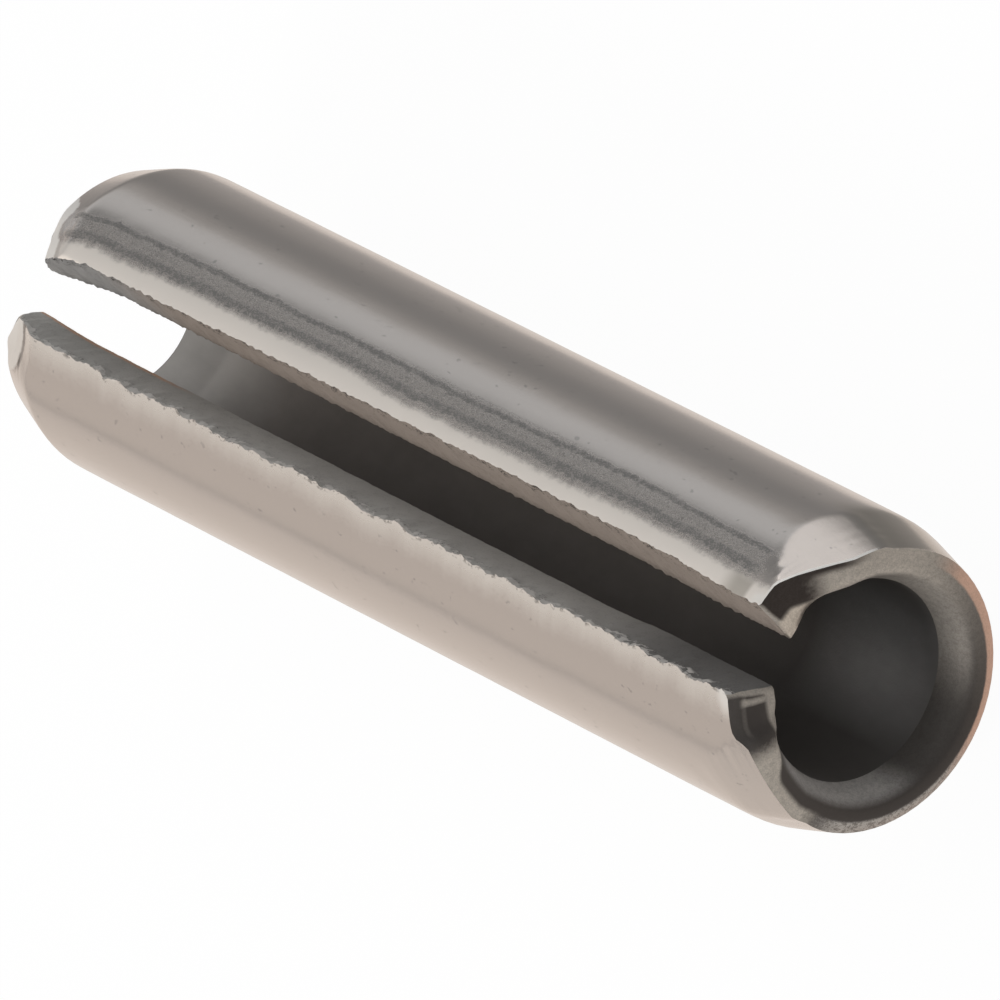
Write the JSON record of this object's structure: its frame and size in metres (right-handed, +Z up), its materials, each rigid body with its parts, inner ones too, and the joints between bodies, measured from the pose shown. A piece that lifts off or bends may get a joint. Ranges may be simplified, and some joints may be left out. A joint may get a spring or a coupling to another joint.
{
  "type": "spring roll pin",
  "caption": "Slotted spring pin: a split steel tube with swaged ends that is driven into a slightly smaller hole and grips it by spring force.",
  "frame": {"origin": "on the pin's axis, midway along the straight barrel", "axes": "+X along the pin towards the end with the countersunk bore, +Z up through the middle of the slot"},
  "size_m": [0.026, 0.0066, 0.0065],
  "materials": {
    "spring_steel": "plain hardened spring steel, drawn, with fine lengthwise scratches and ragged strip edges"
  },
  "bodies": {
    "root": {"spring_pin": "spring_steel"}
  },
  "joints": []
}
